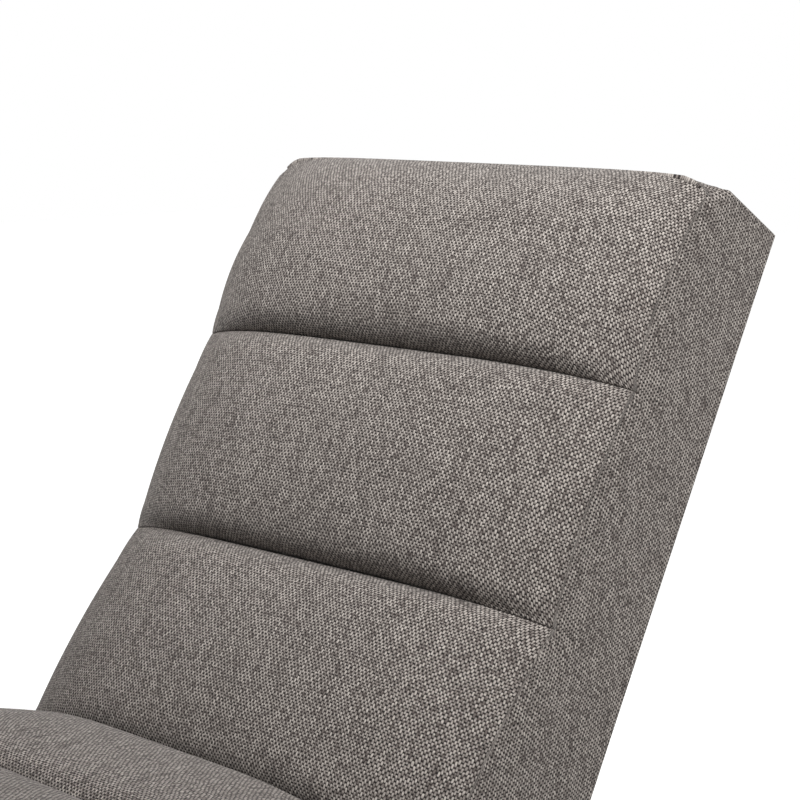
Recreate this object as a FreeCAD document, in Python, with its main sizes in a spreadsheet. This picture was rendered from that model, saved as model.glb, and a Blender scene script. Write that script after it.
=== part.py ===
import FreeCAD, Part
import math
import os
from types import SimpleNamespace

from FreeCAD import Placement, Rotation, Vector

# Chaise longue: a fixed S-shaped body with sewn cross channels on two tube legs.
# Millimetres, +Z up, +X to the sitter's left, head end towards +Y, foot end towards -Y.
# The origin is on the floor below the middle of the overall box.

SIZES = (
    # Upholstered body, measured at the middle of its width
    ("body_width", 550),
    ("body_depth", 162),  # from the crease line to the rear or bottom face
    ("hip_height", 320),  # crease between back and seat, above the floor
    ("back_angle", 28.5),  # upper and middle back channels, from plumb
    ("lower_back_angle", 37.8),
    ("head_tilt", 2.5),  # head end face, from square to the back
    ("top_pitch", 205),
    ("middle_pitch", 210),
    ("lower_pitch", 212),
    ("seat_pitch", 172),
    ("leg_pitch", 172),
    ("seat_rear_rise", 7),
    ("seat_middle_rise", 12),
    ("seat_front_rise", 8),
    ("leg_upper_fall", 6),
    ("leg_middle_fall", 15),
    ("leg_foot_fall", 17),
    ("hip_bend_radius", 60),
    # Channels
    ("seam_drop", 45),  # side seam below the crease line at mid width
    ("end_seam_drop", 39),  # head and foot seam below the crease line
    ("seam_wall", 3),  # channel thickness left at the side seam
    ("side_fall_power", 3.9),  # how late the channel turns down to the side seam
    ("shoulder_crown", 13),
    ("seam_crown", 6),
    ("crest_rise", 4),
    ("upper_roll", 40),
    ("lower_roll", 27),
    ("hip_roll", 38),
    ("head_roll", 90),
    ("foot_roll", 78),
    # Covers, foam and webbing
    ("side_cover", 6),
    ("end_cover", 6),
    ("cover_thickness", 4),
    ("foam_thickness", 28),
    ("strap_thickness", 2.5),
    ("strap_width", 60),
    ("strap_spacing", 90),
    # Timber frame
    ("board_thickness", 18),
    ("rail_thickness", 22),
    ("rail_clearance", 18),  # room for the webbing to sag over a rail
    ("plank_width", 90),
    ("plank_thickness", 25),
    ("plank_margin", 2),
    ("gusset_thickness", 12),
    ("gusset_arm", 80),
    ("gusset_margin", 4),
    # Frame screws
    ("screw_radius", 3),
    ("screw_length", 50),
    ("screw_head_radius", 5),
    ("screw_head_height", 4),
    ("screw_spacing", 30),
    ("plank_screw_offset", 13),  # from the leg bolts to the nearer plank screw
    ("plank_screw_spacing", 18),
    # Legs of rectangular tube
    ("tube_width", 40),
    ("tube_thickness", 20),
    ("tube_wall", 2),
    ("tube_corner", 3),
    ("plate_width", 96),
    ("plate_length", 70),
    ("plate_thickness", 4),
    ("plate_corner", 6),
    # Leg bolts, washers and tee nuts
    ("bolt_radius", 4),
    ("bolt_spacing", 64),
    ("bolt_projection", 5),
    ("bolt_head_width", 13),
    ("bolt_head_height", 5.3),
    ("washer_radius", 8.5),
    ("washer_thickness", 1.6),
    ("tee_flange_radius", 11),
    ("tee_flange_thickness", 1.5),
    ("tee_barrel_radius", 5),
    ("tee_barrel_length", 10),
    ("tee_clearance", 3),  # from the outer tee nuts to the side boards
    # Levelling feet
    ("foot_radius", 18),
    ("foot_height", 10),
    ("foot_bevel", 2),
    ("foot_floor", 3),  # plastic under the end of the stud
    ("foot_inset", 40),  # from the outside of a leg to the middle of its foot
    ("stud_radius", 4),
    ("stud_length", 24),
    ("insert_radius", 6),
    ("insert_length", 14),
    ("insert_flange_radius", 9),
    ("insert_flange_thickness", 1.5),
    # Clearances, all radial
    ("running_gap", 0.05),
    ("fit_gap", 0.1),
    ("bolt_gap", 0.5),
)

doc = FreeCAD.newDocument("ChaiseLongue")
sheet = doc.addObject("Spreadsheet::Sheet", "Sizes")
for row, (name, value) in enumerate(SIZES, start=1):
    sheet.set(f"A{row}", name)
    sheet.set(f"B{row}", str(value))
    sheet.setAlias(f"B{row}", name)
doc.recompute()
dim = SimpleNamespace(**{name: float(sheet.get(name)) for name, _ in SIZES})

nodes = []


def node(part, label):
    """Name a finished sub-part and put it on the list of those written out."""
    part.Label = label
    nodes.append(part)
    return part


# Layers of the body, as depths below the crease line
half_width = dim.body_width / 2
inner_half = half_width - dim.side_cover
rail_half = inner_half - dim.board_thickness
pad_depth = max(dim.seam_drop, dim.end_seam_drop) + dim.seam_wall
foam_depth = pad_depth + dim.foam_thickness
board_depth = foam_depth + dim.strap_thickness
lining_depth = dim.body_depth - dim.cover_thickness
rail_depth = board_depth + dim.rail_clearance
plank_depth = lining_depth - dim.plank_thickness

INNER_WIDTH = "(Sizes.body_width - 2 * Sizes.side_cover)"
RAIL_LENGTH = f"({INNER_WIDTH} - 2 * Sizes.board_thickness)"

# Channels from head to foot: name, length along the body, slope of that run
CHANNELS = (
    ("back_channel_top", dim.top_pitch, dim.back_angle - 90),
    ("back_channel_middle", dim.middle_pitch, dim.back_angle - 90),
    ("back_channel_lower", dim.lower_pitch, dim.lower_back_angle - 90),
    ("seat_channel_rear", dim.seat_pitch, dim.seat_rear_rise),
    ("seat_channel_middle", dim.seat_pitch, dim.seat_middle_rise),
    ("seat_channel_front", dim.seat_pitch, dim.seat_front_rise),
    ("leg_channel_upper", dim.leg_pitch, -dim.leg_upper_fall),
    ("leg_channel_middle", dim.leg_pitch, -dim.leg_middle_fall),
    ("leg_channel_foot", dim.leg_pitch, -dim.leg_foot_fall),
)
channel_names = [name for name, _, _ in CHANNELS]
# Creases that bound the back, the seat and the leg rest
HEAD, FOOT = 0, len(CHANNELS)
HIP = channel_names.index("seat_channel_rear")
KNEE = channel_names.index("leg_channel_upper")
# Channel above each leg
LEG_CHANNEL = {"rear": HIP, "front": channel_names.index("leg_channel_middle")}
pitches = [pitch for _, pitch, _ in CHANNELS]
slopes = [slope for _, _, slope in CHANNELS]


def run_along(slope):
    """Unit vector from head to foot along a channel of this slope."""
    angle = math.radians(slope)
    return Vector(0, -math.cos(angle), math.sin(angle))


runs = [run_along(slope) for slope in slopes]
facings = [Vector(0, run.z, -run.y) for run in runs]


def meet(point, along, other, across):
    """Where two lines of the side view cross."""
    gap = other - point
    turn = along.y * across.z - along.z * across.y
    return point + along * ((gap.y * across.z - gap.z * across.y) / turn)


# Crease points relative to the hip, then the directions in which depth is measured at each
creases = [Vector(0, 0, 0)] * (FOOT + 1)
for i in reversed(range(HIP)):
    creases[i] = creases[i + 1] - runs[i] * pitches[i]
for i in range(HIP, FOOT):
    creases[i + 1] = creases[i] + runs[i] * pitches[i]

tilt = math.radians(dim.head_tilt)
foot_slope = math.radians(slopes[-1])
mitres = [run_along(slopes[0] - 90 + dim.head_tilt) * (1 / math.cos(tilt))]
for before, after in zip(facings, facings[1:]):
    mitres.append((before + after) * (-1 / (1 + before.dot(after))))
mitres.append(Vector(0, 0, -1 / math.cos(foot_slope)))
end_steps = {HEAD: runs[0] * (1 / math.cos(tilt)), FOOT: runs[-1] * (-1 / math.cos(foot_slope))}


def profile_point(i, depth, end_inset=0):
    """Point of the side view at crease i, this far below the crease line and in from the ends."""
    return creases[i] + mitres[i] * depth + end_steps.get(i, Vector()) * end_inset


middle = (profile_point(HEAD, dim.body_depth).y + creases[FOOT].y) / 2
creases = [crease + Vector(0, -middle, dim.hip_height) for crease in creases]


def channel_frame(i, along=0):
    """Frame on a channel: X across, Y back towards the head, Z out of the upholstery."""
    return Placement(creases[i] + runs[i] * along, Rotation(Vector(1, 0, 0), -slopes[i]))


def hip_bend(inset):
    """The bend of the underside: its point on the rear, its middle and its point on the bottom."""
    depth = dim.body_depth - inset
    radius = dim.hip_bend_radius - inset
    corner = meet(profile_point(HEAD, depth), runs[0], profile_point(HIP + 1, depth), runs[HIP])
    up, forward = -runs[0], runs[HIP]
    half_angle = up.getAngle(forward) / 2
    bisector = (up + forward).normalize()
    setback = radius / math.tan(half_angle)
    centre = corner + bisector * (radius / math.sin(half_angle))
    return corner + up * setback, centre - bisector * radius, corner + forward * setback


def plane_of(body, role):
    """A body's own origin plane."""
    return next(plane for plane in body.Origin.OriginFeatures if plane.Role == role)


def outline_geometry(outline):
    """Sketch curves of a closed outline: a point is a line to it, a pair is an arc's middle and end."""
    curves = []
    last = outline[-1]
    position = last[1] if isinstance(last, tuple) else last
    for step in outline:
        if isinstance(step, tuple):
            curves.append(Part.Arc(position, step[0], step[1]))
            position = step[1]
        else:
            curves.append(Part.LineSegment(position, step))
            position = step
    return curves


def circle(point, radius):
    """Sketch circle."""
    return Part.Circle(point, Vector(0, 0, 1), radius)


def add_sketch(body, name, role, curves, offset=None):
    """Sketch on one of a body's origin planes, moved along its normal by an expression."""
    sketch = body.newObject("Sketcher::SketchObject", name)
    sketch.AttachmentSupport = [(plane_of(body, role), "")]
    sketch.MapMode = "FlatFace"
    if offset is not None:
        sketch.setExpression("AttachmentOffset.Base.z", offset)
    sketch.addGeometry(curves, False)
    return sketch


def add_feature(body, kind, name, sketch, length, symmetric=False, reverse=False):
    """Pad or pocket of a sketch, with its length bound to the sheet."""
    feature = body.newObject(f"PartDesign::{kind}", name)
    feature.Profile = sketch
    feature.SideType = "Symmetric" if symmetric else "One side"
    feature.Reversed = reverse
    feature.setExpression("Length", length)
    return feature


def side_view(points):
    """Side-view points as points of a sketch on the YZ plane."""
    return [
        tuple(Vector(p.y, p.z, 0) for p in step) if isinstance(step, tuple) else Vector(step.y, step.z, 0)
        for step in points
    ]


def slab(label, outline, start, thickness, holes=()):
    """Body cut from a sheet in the side view, from x = start over its thickness."""
    body = doc.addObject("PartDesign::Body", label)
    curves = outline_geometry(side_view(outline)) + [circle(p, r) for p, r in holes]
    sketch = add_sketch(body, f"{label}_outline", "YZ_Plane", curves, start)
    add_feature(body, "Pad", f"{label}_pad", sketch, thickness)
    return body


def revolved(label, profile):
    """Body turned about Z from points of radius and height."""
    body = doc.addObject("PartDesign::Body", label)
    points = [Vector(radius, height, 0) for radius, height in profile]
    sketch = add_sketch(body, f"{label}_profile", "XZ_Plane", outline_geometry(points))
    turn = body.newObject("PartDesign::Revolution", f"{label}_turn")
    turn.Profile = sketch
    turn.ReferenceAxis = (sketch, ["V_Axis"])
    turn.Angle = 360
    return body


def cut(label, base, tools):
    """A body less some cutting solids."""
    tool = doc.addObject("Part::Feature", f"{label}_holes")
    tool.Shape = Part.makeCompound(tools)
    result = doc.addObject("Part::Cut", f"{label}_cut")
    result.Base = base
    result.Tool = tool
    return result


def copies(label, master, places):
    """Group of equal solids, one at each placement."""
    group = doc.addObject("Part::Feature", label)
    group.Shape = Part.makeCompound([master.Shape.copy().transformGeometry(p.Matrix) for p in places])
    return node(group, label)


# Upholstered channels: crowned across and along, drawn in at the creases and the side seams
SECTION_SHARES = (0, 0.4, 0.62, 0.78, 0.9, 1)  # stations from mid width to the side seam
SPECIAL_ROLLS = {HEAD: dim.head_roll, HIP: dim.hip_roll, FOOT: dim.foot_roll}


def end_roll_of(i, first):
    """Length over which a channel turns down into its upper or lower end."""
    if i in SPECIAL_ROLLS:
        return SPECIAL_ROLLS[i]
    return dim.upper_roll if first else dim.lower_roll


def channel_section(i, x):
    """Closed section of channel i at x: base, two walls, two end rolls and the crest."""
    share = (abs(x) / half_width) ** dim.side_fall_power
    crease_sink = dim.seam_drop * share
    end_sink = dim.end_seam_drop + (dim.seam_drop - dim.end_seam_drop) * share
    level = dim.shoulder_crown - (dim.shoulder_crown - dim.seam_crown) * share - crease_sink
    run, facing, at_x = runs[i], facings[i], Vector(x, 0, 0)
    bases, edges, bends, shoulders = [], [], [], []
    for j, way in ((i, 1), (i + 1, -1)):
        sink = end_sink if j in (HEAD, FOOT) else crease_sink
        roll = end_roll_of(j, way == 1)
        edge = profile_point(j, sink) + at_x
        height = level - (edge - creases[j]).dot(facing)
        shoulder = edge + run * (way * roll) + facing * height
        radius = (roll ** 2 + height ** 2) / (2 * height)
        half_turn = math.atan2(roll, radius - height) / 2
        centre = shoulder - facing * radius
        bends.append(centre + (facing * math.cos(half_turn) - run * (way * math.sin(half_turn))) * radius)
        bases.append(profile_point(j, pad_depth) + at_x)
        edges.append(edge)
        shoulders.append(shoulder)
    crest = (shoulders[0] + shoulders[1]) * 0.5 + facing * dim.crest_rise
    return Part.Wire([
        Part.LineSegment(bases[1], bases[0]).toShape(),
        Part.LineSegment(bases[0], edges[0]).toShape(),
        Part.Arc(edges[0], bends[0], shoulders[0]).toShape(),
        Part.Arc(shoulders[0], crest, shoulders[1]).toShape(),
        Part.Arc(shoulders[1], bends[1], edges[1]).toShape(),
        Part.LineSegment(edges[1], bases[1]).toShape(),
    ])


def upholstered_channel(i, label):
    """One channel pad, lofted across the width of the body."""
    stations = [-share for share in reversed(SECTION_SHARES[1:])] + list(SECTION_SHARES)
    sections = [channel_section(i, share * half_width) for share in stations]
    pad = doc.addObject("Part::Feature", label)
    pad.Shape = Part.makeLoft(sections, True, False)
    return node(pad, label)


for i, (label, _, _) in enumerate(CHANNELS):
    upholstered_channel(i, label)


# Covers: side panels of wadded cloth, rear panel, end panels and the dust cloth underneath
def side_cover(label, start):
    """Side panel in one S-shaped piece below the side seam."""
    on_rear, bend, on_bottom = hip_bend(0)
    outline = [profile_point(i, pad_depth) for i in range(FOOT + 1)]
    outline += [profile_point(i, dim.body_depth) for i in range(FOOT, HIP, -1)]
    outline += [on_bottom, (bend, on_rear), profile_point(HEAD, dim.body_depth)]
    return node(slab(label, outline, start, "Sizes.side_cover"), label)


side_cover("side_cover_left", f"{INNER_WIDTH} / 2")
side_cover("side_cover_right", "-Sizes.body_width / 2")


def back_cover(label):
    """Rear panel, carried round the bend under the hip."""
    on_rear, bend, on_bottom = hip_bend(0)
    lining_rear, lining_bend, lining_bottom = hip_bend(dim.cover_thickness)
    outline = [
        profile_point(HEAD, dim.body_depth, dim.end_cover),
        on_rear,
        (bend, on_bottom),
        lining_bottom,
        (lining_bend, lining_rear),
        profile_point(HEAD, lining_depth, dim.end_cover),
    ]
    return node(slab(label, outline, f"-{INNER_WIDTH} / 2", INNER_WIDTH), label)


def end_cover(label, i):
    """Narrow panel across the head or the foot."""
    outline = [
        profile_point(i, pad_depth),
        profile_point(i, dim.body_depth),
        profile_point(i, dim.body_depth, dim.end_cover),
        profile_point(i, pad_depth, dim.end_cover),
    ]
    return node(slab(label, outline, f"-{INNER_WIDTH} / 2", INNER_WIDTH), label)


def leg_along(leg):
    """Centre of a leg's plank along its channel."""
    i = LEG_CHANNEL[leg]
    if i != HIP:
        return pitches[i] / 2
    bend_end = hip_bend(dim.cover_thickness)[2]
    return (bend_end - creases[i]).dot(runs[i]) + dim.plank_margin + dim.plank_width / 2


leg_frames = {leg: channel_frame(i, leg_along(leg)) for leg, i in LEG_CHANNEL.items()}
leg_x = rail_half - dim.tee_clearance - dim.tee_flange_radius - dim.bolt_spacing / 2
leg_half = leg_x + dim.tube_thickness / 2
bolt_xs = [side * leg_x + end * dim.bolt_spacing / 2 for side in (-1, 1) for end in (-1, 1)]


def bolt_holes(depth, thickness, radius):
    """Drills square to the underside at every leg bolt, down from this depth."""
    drills = []
    for frame in leg_frames.values():
        for x in bolt_xs:
            drill = Part.makeCylinder(radius, thickness, Vector(x, 0, -depth - thickness))
            drill.Placement = frame.multiply(drill.Placement)
            drills.append(drill)
    return drills


def bottom_cover(label):
    """Dust cloth from the hip bend to the foot, pierced by the leg bolts."""
    outline = [hip_bend(dim.cover_thickness)[2]]
    outline += [profile_point(i, lining_depth) for i in range(HIP + 1, FOOT)]
    outline += [
        profile_point(FOOT, lining_depth, dim.end_cover),
        profile_point(FOOT, dim.body_depth, dim.end_cover),
    ]
    outline += [profile_point(i, dim.body_depth) for i in range(FOOT - 1, HIP, -1)]
    outline += [hip_bend(0)[2]]
    cloth = slab(f"{label}_sheet", outline, f"-{INNER_WIDTH} / 2", INNER_WIDTH)
    radius = dim.bolt_radius + dim.bolt_gap
    return node(cut(label, cloth, bolt_holes(lining_depth, dim.cover_thickness, radius)), label)


back_cover("back_cover")
end_cover("head_end_cover", HEAD)
end_cover("foot_end_cover", FOOT)
bottom_cover("bottom_cover")


# Foam slabs and elastic webbing under the channels
def foam(label, first, last):
    """Foam slab between two creases."""
    inset = dim.end_cover
    outline = [profile_point(i, pad_depth, inset) for i in range(first, last + 1)]
    outline += [profile_point(i, foam_depth, inset) for i in range(last, first - 1, -1)]
    return node(slab(label, outline, f"-{INNER_WIDTH} / 2", INNER_WIDTH), label)


def webbing(label, first, last):
    """Two straps under each channel, fixed on the edges of the side boards."""
    straps = []
    for i in range(first, last):
        for end in (-1, 1):
            strap = doc.addObject("Part::Box", f"{label}_strap")
            strap.setExpression("Length", INNER_WIDTH)
            strap.setExpression("Width", "Sizes.strap_width")
            strap.setExpression("Height", "Sizes.strap_thickness")
            along = (pitches[i] + end * dim.strap_spacing + dim.strap_width) / 2
            corner = Vector(-inner_half, 0, -board_depth)
            strap.Placement = channel_frame(i, along).multiply(Placement(corner, Rotation()))
            straps.append(strap)
    group = doc.addObject("Part::Compound", label)
    group.Links = straps
    return node(group, label)


for label, first, last in (("back", HEAD, HIP), ("seat", HIP, KNEE), ("leg", KNEE, FOOT)):
    foam(f"{label}_foam", first, last)
    webbing(f"{label}_webbing", first, last)


# Timber frame: cross rails and leg planks screwed between the side boards
def screw_points(frame, offsets):
    """Side-view points of a member's end screws, from its frame and offsets along Y and Z."""
    return [frame.multVec(Vector(0, y, z)) for y, z in offsets]


def cross_member(label, frame, thickness, height, screws, drills=()):
    """Timber across the body with its lower front corner in the frame, drilled for its screws."""
    blank = doc.addObject("Part::Box", f"{label}_blank")
    blank.setExpression("Length", RAIL_LENGTH)
    blank.Width = thickness
    blank.Height = height
    blank.Placement = frame.multiply(Placement(Vector(-rail_half, 0, 0), Rotation()))
    depth = dim.screw_length - dim.board_thickness + dim.fit_gap
    radius = dim.screw_radius + dim.fit_gap
    pilots = []
    for point in screws:
        for side in (-1, 1):
            start = Vector(side * rail_half, point.y, point.z)
            pilots.append(Part.makeCylinder(radius, depth, start, Vector(-side, 0, 0)))
    return node(cut(label, blank, pilots + list(drills)), label)


def rail(label, frame, height):
    """Cross rail on edge, with two screws in each end."""
    offsets = [(dim.rail_thickness / 2, height / 2 + end * dim.screw_spacing / 2) for end in (-1, 1)]
    screws = screw_points(frame, offsets)
    cross_member(label, frame, dim.rail_thickness, height, screws)
    return screws


def middle_rail(label, i):
    """Rail under the middle of a channel, clear of the webbing."""
    along = (pitches[i] + dim.rail_thickness) / 2
    frame = channel_frame(i, along).multiply(Placement(Vector(0, 0, -lining_depth), Rotation()))
    return rail(label, frame, lining_depth - rail_depth)


def head_rail(label):
    """Rail inside the head cover, square to the head end."""
    inset = dim.end_cover + dim.rail_thickness
    lowest = lining_depth / math.cos(tilt)
    highest = board_depth / math.cos(tilt) + inset * math.tan(tilt)
    turn = Rotation(Vector(1, 0, 0), -slopes[0] - dim.head_tilt)
    frame = Placement(creases[HEAD], turn).multiply(Placement(Vector(0, -inset, -lowest), Rotation()))
    return rail(label, frame, lowest - highest)


def foot_rail(label):
    """Plumb rail inside the foot cover."""
    front = profile_point(FOOT, board_depth, dim.end_cover)
    rear = profile_point(FOOT, lining_depth, dim.end_cover + dim.rail_thickness)
    frame = Placement(Vector(0, front.y, rear.z), Rotation())
    return rail(label, frame, front.z - rear.z)


def leg_plank(leg):
    """Board on the dust cloth that takes the leg bolts and their tee nuts."""
    offset = Vector(0, -dim.plank_width / 2, -lining_depth)
    frame = leg_frames[leg].multiply(Placement(offset, Rotation()))
    nearest = dim.plank_width / 2 - dim.plank_screw_offset
    offsets = [
        (nearest - step * dim.plank_screw_spacing, dim.plank_thickness / 2) for step in (0, 1)
    ]
    screws = screw_points(frame, offsets)
    drills = bolt_holes(plank_depth, dim.plank_thickness, dim.tee_barrel_radius + dim.fit_gap)
    cross_member(f"{leg}_leg_plank", frame, dim.plank_width, dim.plank_thickness, screws, drills)
    return screws


back_screws = head_rail("head_rail") + middle_rail("mid_back_rail", 1) + middle_rail("low_back_rail", 2)
seat_screws = middle_rail("seat_rail", 4) + middle_rail("knee_rail", 6) + foot_rail("foot_rail")
seat_screws += leg_plank("rear") + leg_plank("front")


def side_board(label, side, outline, screws):
    """Plywood side board with a counterbored hole for each screw."""
    outer = f"{INNER_WIDTH} / 2"
    start = f"{outer} - Sizes.board_thickness" if side > 0 else f"-{outer}"
    points = side_view(screws)
    holes = [(point, dim.screw_radius + dim.fit_gap) for point in points]
    board = slab(label, outline, start, "Sizes.board_thickness", holes)
    rings = [circle(point, dim.screw_head_radius + dim.fit_gap) for point in points]
    face = outer if side > 0 else f"-{outer}"
    sketch = add_sketch(board, f"{label}_counterbores", "YZ_Plane", rings, face)
    add_feature(board, "Pocket", f"{label}_heads", sketch, "Sizes.screw_head_height", reverse=side < 0)
    return node(board, label)


lining_rear, lining_bend, _ = hip_bend(dim.cover_thickness)
back_outline = [profile_point(i, board_depth, dim.end_cover) for i in range(HEAD, HIP + 1)]
back_outline += [profile_point(HIP, lining_depth), hip_bend(dim.cover_thickness)[2]]
back_outline += [(lining_bend, lining_rear), profile_point(HEAD, lining_depth, dim.end_cover)]
seat_outline = [profile_point(i, board_depth, dim.end_cover) for i in range(HIP, FOOT + 1)]
seat_outline += [profile_point(i, lining_depth, dim.end_cover) for i in range(FOOT, HIP - 1, -1)]

gusset_top = board_depth + dim.gusset_margin
gusset_foot = plank_depth - dim.tee_flange_thickness - dim.bolt_projection - dim.gusset_margin
gusset_outline = [
    profile_point(HIP, depth) + run * reach
    for depth, run, reach in (
        (gusset_top, runs[HIP - 1], -dim.gusset_arm),
        (gusset_top, runs[HIP], 0),
        (gusset_top, runs[HIP], dim.gusset_arm),
        (gusset_foot, runs[HIP], dim.gusset_arm),
        (gusset_foot, runs[HIP], 0),
        (gusset_foot, runs[HIP - 1], -dim.gusset_arm),
    )
]

for word, side in (("left", 1), ("right", -1)):
    side_board(f"back_board_{word}", side, back_outline, back_screws)
    side_board(f"seat_board_{word}", side, seat_outline, seat_screws)
    start = f"{RAIL_LENGTH} / 2 - Sizes.gusset_thickness" if side > 0 else f"-{RAIL_LENGTH} / 2"
    label = f"hip_gusset_{word}"
    node(slab(label, gusset_outline, start, "Sizes.gusset_thickness"), label)

screw = revolved("frame_screw", [
    (0, 0),
    (dim.screw_head_radius, 0),
    (dim.screw_head_radius, -dim.screw_head_height),
    (dim.screw_radius, -dim.screw_head_height),
    (dim.screw_radius, -dim.screw_length),
    (0, -dim.screw_length),
])

# Leg fastenings, each turned about its own axis with the underside of the body at height zero
stack = dim.cover_thickness + dim.plank_thickness + dim.tee_flange_thickness
washer_top = -dim.plate_thickness
head_top = washer_top - dim.washer_thickness
thread_bore = dim.bolt_radius + dim.running_gap
tee_seat = dim.cover_thickness + dim.plank_thickness

tee_nut = revolved("tee_nut", [
    (thread_bore, tee_seat - dim.tee_barrel_length),
    (dim.tee_barrel_radius, tee_seat - dim.tee_barrel_length),
    (dim.tee_barrel_radius, tee_seat),
    (dim.tee_flange_radius, tee_seat),
    (dim.tee_flange_radius, tee_seat + dim.tee_flange_thickness),
    (thread_bore, tee_seat + dim.tee_flange_thickness),
])
washer = revolved("leg_washer", [
    (dim.bolt_radius + dim.bolt_gap, head_top),
    (dim.washer_radius, head_top),
    (dim.washer_radius, washer_top),
    (dim.bolt_radius + dim.bolt_gap, washer_top),
])


def hexagon(width):
    """Sketch curves of a hexagon this wide across its flats."""
    radius = width / math.sqrt(3)
    turns = [math.radians(60 * k) for k in range(6)]
    return outline_geometry([Vector(radius * math.cos(t), radius * math.sin(t), 0) for t in turns])


bolt = doc.addObject("PartDesign::Body", "leg_bolt")
bolt_head_face = "-(Sizes.plate_thickness + Sizes.washer_thickness)"
bolt_length = (
    "Sizes.washer_thickness + Sizes.plate_thickness + Sizes.cover_thickness + Sizes.plank_thickness"
    " + Sizes.tee_flange_thickness + Sizes.bolt_projection"
)
hex_sketch = add_sketch(bolt, "bolt_hexagon", "XY_Plane", hexagon(dim.bolt_head_width), bolt_head_face)
add_feature(bolt, "Pad", "bolt_head", hex_sketch, "Sizes.bolt_head_height", reverse=True)
shank_circle = [circle(Vector(), dim.bolt_radius)]
shank_sketch = add_sketch(bolt, "bolt_circle", "XY_Plane", shank_circle, bolt_head_face)
add_feature(bolt, "Pad", "bolt_shank", shank_sketch, bolt_length)
doc.recompute()

screw_places = [
    Placement(Vector(side * inner_half, point.y, point.z), Rotation(Vector(0, 0, 1), Vector(side, 0, 0)))
    for point in back_screws + seat_screws
    for side in (-1, 1)
]
copies("frame_screws", screw, screw_places)
bolt_places = [
    frame.multiply(Placement(Vector(x, 0, -dim.body_depth), Rotation()))
    for frame in leg_frames.values()
    for x in bolt_xs
]
copies("tee_nuts", tee_nut, bolt_places)
copies("leg_washers", washer, bolt_places)
copies("leg_bolts", bolt, bolt_places)


# Legs: a plate under each end of the plank, two uprights and a floor bar, mitred and welded
bar_low = dim.foot_height + dim.insert_flange_thickness
bar_high = bar_low + dim.tube_thickness
foot_xs = {"left": leg_half - dim.foot_inset, "right": dim.foot_inset - leg_half}


def rounded_rectangle(width, length, radius):
    """Closed outline of a rectangle with arced corners, centred on the origin."""
    outline = []
    for k, (sx, sy) in enumerate(((1, -1), (1, 1), (-1, 1), (-1, -1))):
        centre = Vector(sx * (width / 2 - radius), sy * (length / 2 - radius), 0)
        turns = [math.radians(90 * k - 90 + step) for step in (0, 45, 90)]
        start, bend, end = [centre + Vector(math.cos(t), math.sin(t), 0) * radius for t in turns]
        outline += [start, (bend, end)]
    return outline


def leg_plate(label, frame, x):
    """Steel plate on the underside, with two bolt holes."""
    plate = doc.addObject("PartDesign::Body", label)
    curves = outline_geometry(rounded_rectangle(dim.plate_width, dim.plate_length, dim.plate_corner))
    curves += [
        circle(Vector(end * dim.bolt_spacing / 2, 0, 0), dim.bolt_radius + dim.bolt_gap)
        for end in (-1, 1)
    ]
    sketch = add_sketch(plate, f"{label}_outline", "XY_Plane", curves)
    add_feature(plate, "Pad", f"{label}_pad", sketch, "Sizes.plate_thickness", reverse=True)
    plate.Placement = frame.multiply(Placement(Vector(x, 0, -dim.body_depth), Rotation()))
    return node(plate, label)


def round_tube_edges(body, feature, axis):
    """Round the long edges of a tube that runs along an axis."""
    doc.recompute()
    names = [
        f"Edge{k}" for k, edge in enumerate(feature.Shape.Edges, start=1)
        if abs(edge.tangentAt(edge.FirstParameter).dot(axis)) > 0.999
    ]
    fillet = body.newObject("PartDesign::Fillet", f"{body.Name}_corners")
    fillet.Base = (feature, names)
    fillet.setExpression("Radius", "Sizes.tube_corner")
    return fillet


BORE_WIDTH = "Sizes.tube_width - 2 * Sizes.tube_wall"


def leg_upright(label, frame, side):
    """Plumb tube from the mitre at the floor bar to the slanting plate."""
    seat = frame.multVec(Vector(0, 0, -dim.body_depth - dim.plate_thickness))
    slope = frame.Rotation.multVec(Vector(0, 1, 0))
    reach = dim.tube_width
    above = reach * abs(slope.z / slope.y)
    body = doc.addObject("PartDesign::Body", label)

    def front_view(inset):
        """Outline of the tube, or of its bore, cut by the mitre."""
        outer = side * (leg_half - inset)
        inner = side * (leg_half - dim.tube_thickness + inset)
        points = [
            Vector(outer, bar_low + inset, 0),
            Vector(outer, seat.z + above, 0),
            Vector(inner, seat.z + above, 0),
            Vector(inner, bar_high - inset, 0),
        ]
        return outline_geometry(points)

    tube = add_feature(
        body, "Pad", f"{label}_tube", add_sketch(body, f"{label}_outer", "XZ_Plane", front_view(0)),
        "Sizes.tube_width", symmetric=True,
    )
    round_tube_edges(body, tube, Vector(0, 0, 1))
    add_feature(
        body, "Pocket", f"{label}_bore",
        add_sketch(body, f"{label}_inner", "XZ_Plane", front_view(dim.tube_wall)),
        BORE_WIDTH, symmetric=True,
    )
    rise = slope.z / slope.y * reach
    trim = [
        Vector(-reach, seat.z - rise, 0),
        Vector(reach, seat.z + rise, 0),
        Vector(reach, seat.z + above + reach, 0),
        Vector(-reach, seat.z + above + reach, 0),
    ]
    trim_sketch = add_sketch(body, f"{label}_slant", "YZ_Plane", outline_geometry(trim))
    add_feature(body, "Pocket", f"{label}_top", trim_sketch, "Sizes.body_width", symmetric=True)
    body.Placement = Placement(Vector(0, seat.y, 0), Rotation())
    return node(body, label)


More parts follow.
